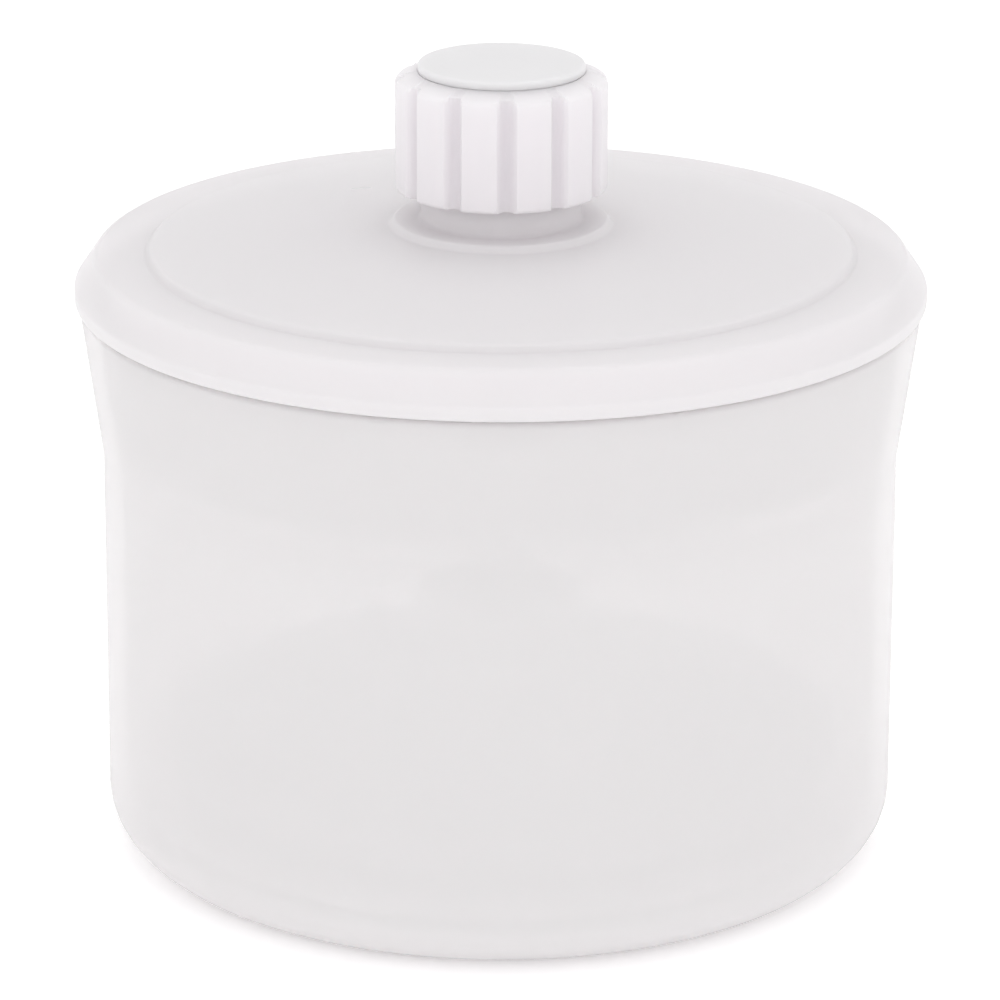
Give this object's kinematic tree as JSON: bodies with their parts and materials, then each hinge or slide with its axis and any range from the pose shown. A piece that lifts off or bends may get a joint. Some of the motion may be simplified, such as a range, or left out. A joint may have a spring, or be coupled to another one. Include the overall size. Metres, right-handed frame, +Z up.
{
  "type": "pill crusher",
  "caption": "Round milky plastic pill crusher: a cup with a push-in lid and a ribbed knob that works a pestle against the cup floor.",
  "frame": {"origin": "middle of the underside of the cup", "axes": "+Z up along the axis of cup, lid and knob; -Y is the side seen in the view"},
  "size_m": [0.06, 0.06, 0.0572],
  "materials": {
    "cup_plastic": "translucent milky moulded polypropylene",
    "lid_plastic": "translucent milky moulded polypropylene",
    "knob_plastic": "milky moulded polypropylene, satin",
    "cap_plastic": "milky moulded polypropylene, satin",
    "insert_plastic": "white moulded plastic",
    "soft_seal": "translucent silicone",
    "screw_steel": "plain"
  },
  "bodies": {
    "cup_body": {"cup": "cup_plastic", "anvil_plate": "insert_plastic"},
    "lid_body": {"lid_shell": "lid_plastic", "skirt_seal": "soft_seal", "guide_bush": "insert_plastic", "stem_wiper": "soft_seal"},
    "stop_body": {"stop_washer": "insert_plastic"},
    "pestle_body": {"stem": "insert_plastic", "retaining_clip": "insert_plastic", "knob_body": "knob_plastic", "knob_cap": "cap_plastic", "knob_screw": "screw_steel", "pestle_head": "insert_plastic", "crush_plate": "insert_plastic", "head_pin": "insert_plastic"}
  },
  "joints": [
    {"name": "lid_lift", "type": "slide", "parent": "cup_body", "child": "lid_body", "axis": [0, 0, 1], "range_m": [0, 0.046]},
    {"name": "pestle_lift", "type": "slide", "parent": "lid_body", "child": "stop_body", "axis": [0, 0, 1], "range_m": [0, 0.0175]},
    {"name": "pestle_turn", "type": "hinge", "parent": "stop_body", "child": "pestle_body", "pos_m": [0, 0, 0.017], "axis": [0, 0, 1], "continuous": true}
  ]
}
